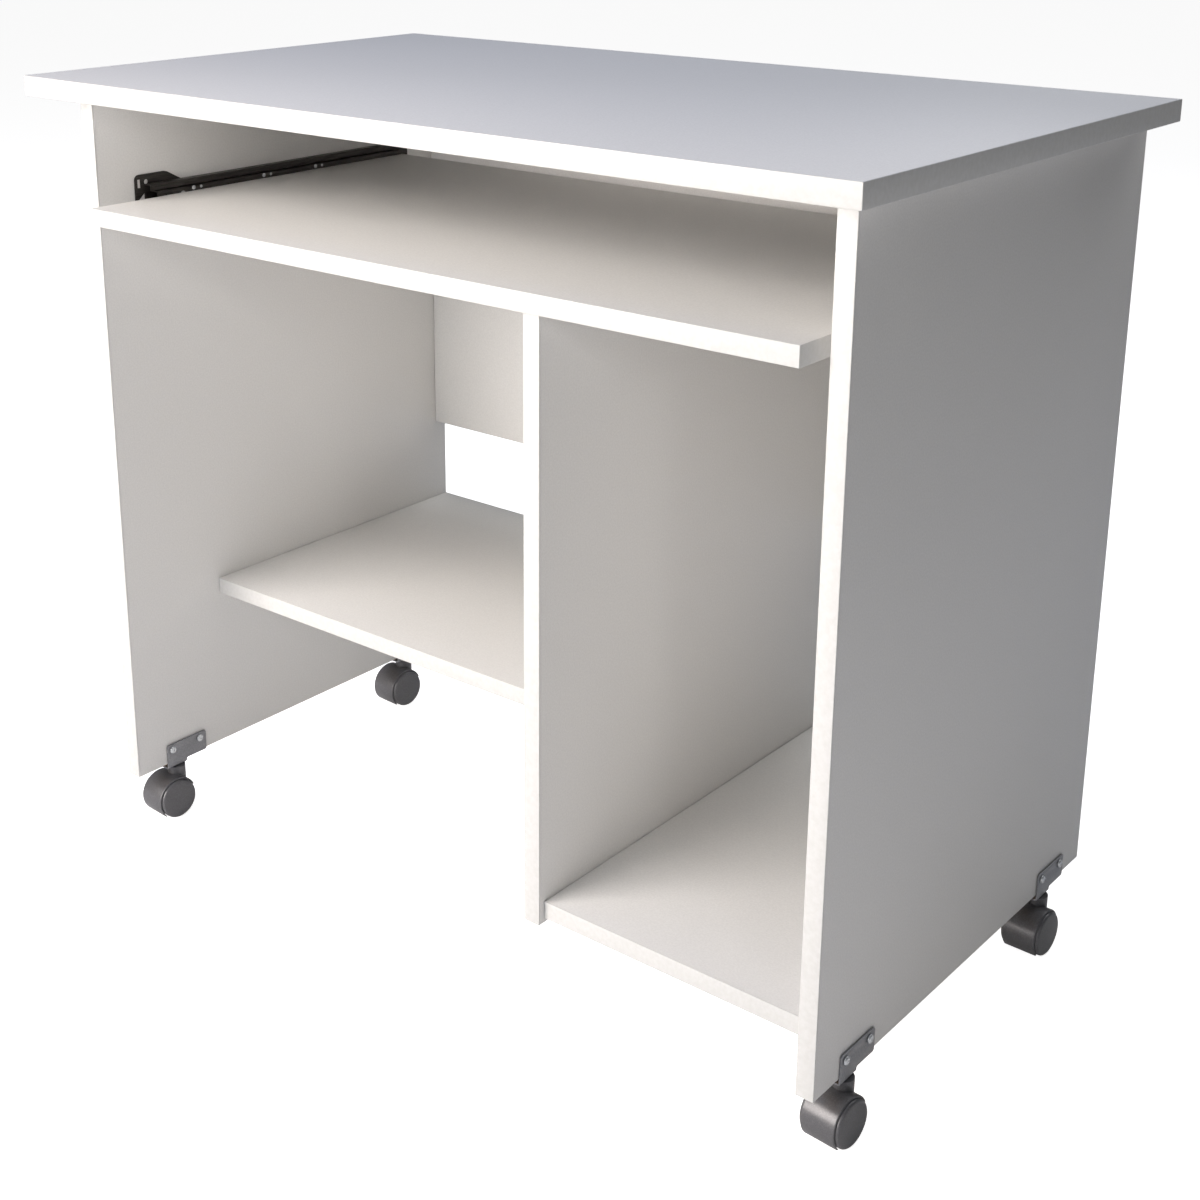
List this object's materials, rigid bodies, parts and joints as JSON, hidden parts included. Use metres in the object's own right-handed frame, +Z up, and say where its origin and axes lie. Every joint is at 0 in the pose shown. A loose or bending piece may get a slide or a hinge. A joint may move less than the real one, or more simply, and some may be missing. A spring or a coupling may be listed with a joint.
{
  "type": "computer desk with pull-out keyboard drawer",
  "caption": "White board computer desk on castors with an under-desk keyboard drawer on ball slides, an open low shelf and a side bay for a computer.",
  "frame": {"origin": "on the floor, under the middle of the desk top", "axes": "+X to the user's right, along the width; +Y away from the user, to the back; +Z up"},
  "size_m": [0.85, 0.5, 0.75],
  "materials": {
    "white_board": "white melamine foil on chipboard, satin with a very fine grain",
    "edge_band": "white plastic edge band, smoother than the faces",
    "slide_steel": "black coated rolled steel",
    "zinc_steel": "bright zinc plated",
    "bracket_steel": "grey paint on pressed steel",
    "castor_plastic": "silver grey moulded plastic, satin"
  },
  "bodies": {
    "desk": {"desk_top": "white_board", "left_side": "white_board", "right_side": "white_board", "partition": "white_board", "low_shelf": "white_board", "bottom_board": "white_board", "back_traverse": "white_board", "desk_top_band": "edge_band", "left_side_band": "edge_band", "right_side_band": "edge_band", "partition_band": "edge_band", "low_shelf_band": "edge_band", "bottom_board_band": "edge_band", "fixed_rail_left": "slide_steel", "fixed_rail_right": "slide_steel", "rail_screw_left_1": "zinc_steel", "rail_screw_left_2": "zinc_steel", "rail_screw_right_1": "zinc_steel", "rail_screw_right_2": "zinc_steel", "bracket_front_left": "bracket_steel", "castor_pin_front_left": "zinc_steel", "bracket_screw_front_left_1": "zinc_steel", "bracket_screw_front_left_2": "zinc_steel", "bracket_front_right": "bracket_steel", "castor_pin_front_right": "zinc_steel", "bracket_screw_front_right_1": "zinc_steel", "bracket_screw_front_right_2": "zinc_steel", "bracket_rear_left": "bracket_steel", "castor_pin_rear_left": "zinc_steel", "bracket_screw_rear_left_1": "zinc_steel", "bracket_screw_rear_left_2": "zinc_steel", "bracket_rear_right": "bracket_steel", "castor_pin_rear_right": "zinc_steel", "bracket_screw_rear_right_1": "zinc_steel", "bracket_screw_rear_right_2": "zinc_steel"},
    "drawer": {"keyboard_shelf": "white_board", "keyboard_shelf_band": "edge_band", "moving_rail_left": "slide_steel", "moving_rail_right": "slide_steel", "shelf_screw_left": "zinc_steel", "shelf_screw_right": "zinc_steel"},
    "cage_left": {"ball_cage_left": "zinc_steel"},
    "cage_right": {"ball_cage_right": "zinc_steel"},
    "castor_front_left": {"castor_housing_front_left": "castor_plastic", "castor_axle_front_left": "zinc_steel"},
    "wheel_front_left_outer": {"castor_wheel_front_left_outer": "castor_plastic"},
    "wheel_front_left_inner": {"castor_wheel_front_left_inner": "castor_plastic"},
    "castor_front_right": {"castor_housing_front_right": "castor_plastic", "castor_axle_front_right": "zinc_steel"},
    "wheel_front_right_outer": {"castor_wheel_front_right_outer": "castor_plastic"},
    "wheel_front_right_inner": {"castor_wheel_front_right_inner": "castor_plastic"},
    "castor_rear_left": {"castor_housing_rear_left": "castor_plastic", "castor_axle_rear_left": "zinc_steel"},
    "wheel_rear_left_outer": {"castor_wheel_rear_left_outer": "castor_plastic"},
    "wheel_rear_left_inner": {"castor_wheel_rear_left_inner": "castor_plastic"},
    "castor_rear_right": {"castor_housing_rear_right": "castor_plastic", "castor_axle_rear_right": "zinc_steel"},
    "wheel_rear_right_outer": {"castor_wheel_rear_right_outer": "castor_plastic"},
    "wheel_rear_right_inner": {"castor_wheel_rear_right_inner": "castor_plastic"}
  },
  "joints": [
    {"name": "drawer_slide", "type": "slide", "parent": "desk", "child": "drawer", "axis": [0, -1, 0], "range_m": [-0.017, 0.25]},
    {"name": "cage_left_slide", "type": "slide", "parent": "desk", "child": "cage_left", "axis": [0, -1, 0], "range_m": [-0.0086, 0.1252]},
    {"name": "cage_right_slide", "type": "slide", "parent": "desk", "child": "cage_right", "axis": [0, -1, 0], "range_m": [-0.0086, 0.1252]},
    {"name": "swivel_front_left", "type": "hinge", "parent": "desk", "child": "castor_front_left", "pos_m": [-0.388, -0.16, 0.04], "axis": [0, 0, 1], "continuous": true},
    {"name": "roll_front_left_outer", "type": "hinge", "parent": "castor_front_left", "child": "wheel_front_left_outer", "pos_m": [-0.38873, -0.17047, 0.02], "axis": [0.9976, -0.0698, 0], "continuous": true},
    {"name": "roll_front_left_inner", "type": "hinge", "parent": "castor_front_left", "child": "wheel_front_left_inner", "pos_m": [-0.38873, -0.17047, 0.02], "axis": [0.9976, -0.0698, 0], "continuous": true},
    {"name": "swivel_front_right", "type": "hinge", "parent": "desk", "child": "castor_front_right", "pos_m": [0.396, -0.16, 0.04], "axis": [0, 0, 1], "continuous": true},
    {"name": "roll_front_right_outer", "type": "hinge", "parent": "castor_front_right", "child": "wheel_front_right_outer", "pos_m": [0.39527, -0.17047, 0.02], "axis": [0.9976, -0.0698, 0], "continuous": true},
    {"name": "roll_front_right_inner", "type": "hinge", "parent": "castor_front_right", "child": "wheel_front_right_inner", "pos_m": [0.39527, -0.17047, 0.02], "axis": [0.9976, -0.0698, 0], "continuous": true},
    {"name": "swivel_rear_left", "type": "hinge", "parent": "desk", "child": "castor_rear_left", "pos_m": [-0.388, 0.174, 0.04], "axis": [0, 0, 1], "continuous": true},
    {"name": "roll_rear_left_outer", "type": "hinge", "parent": "castor_rear_left", "child": "wheel_rear_left_outer", "pos_m": [-0.38873, 0.16353, 0.02], "axis": [0.9976, -0.0698, 0], "continuous": true},
    {"name": "roll_rear_left_inner", "type": "hinge", "parent": "castor_rear_left", "child": "wheel_rear_left_inner", "pos_m": [-0.38873, 0.16353, 0.02], "axis": [0.9976, -0.0698, 0], "continuous": true},
    {"name": "swivel_rear_right", "type": "hinge", "parent": "desk", "child": "castor_rear_right", "pos_m": [0.396, 0.174, 0.04], "axis": [0, 0, 1], "continuous": true},
    {"name": "roll_rear_right_outer", "type": "hinge", "parent": "castor_rear_right", "child": "wheel_rear_right_outer", "pos_m": [0.39563, 0.16351, 0.02], "axis": [0.9994, -0.0349, 0], "continuous": true},
    {"name": "roll_rear_right_inner", "type": "hinge", "parent": "castor_rear_right", "child": "wheel_rear_right_inner", "pos_m": [0.39563, 0.16351, 0.02], "axis": [0.9994, -0.0349, 0], "continuous": true}
  ],
  "couplings": [
    {"joint": "cage_left_slide", "follows": "drawer_slide", "ratio": 0.5},
    {"joint": "cage_right_slide", "follows": "drawer_slide", "ratio": 0.5}
  ]
}
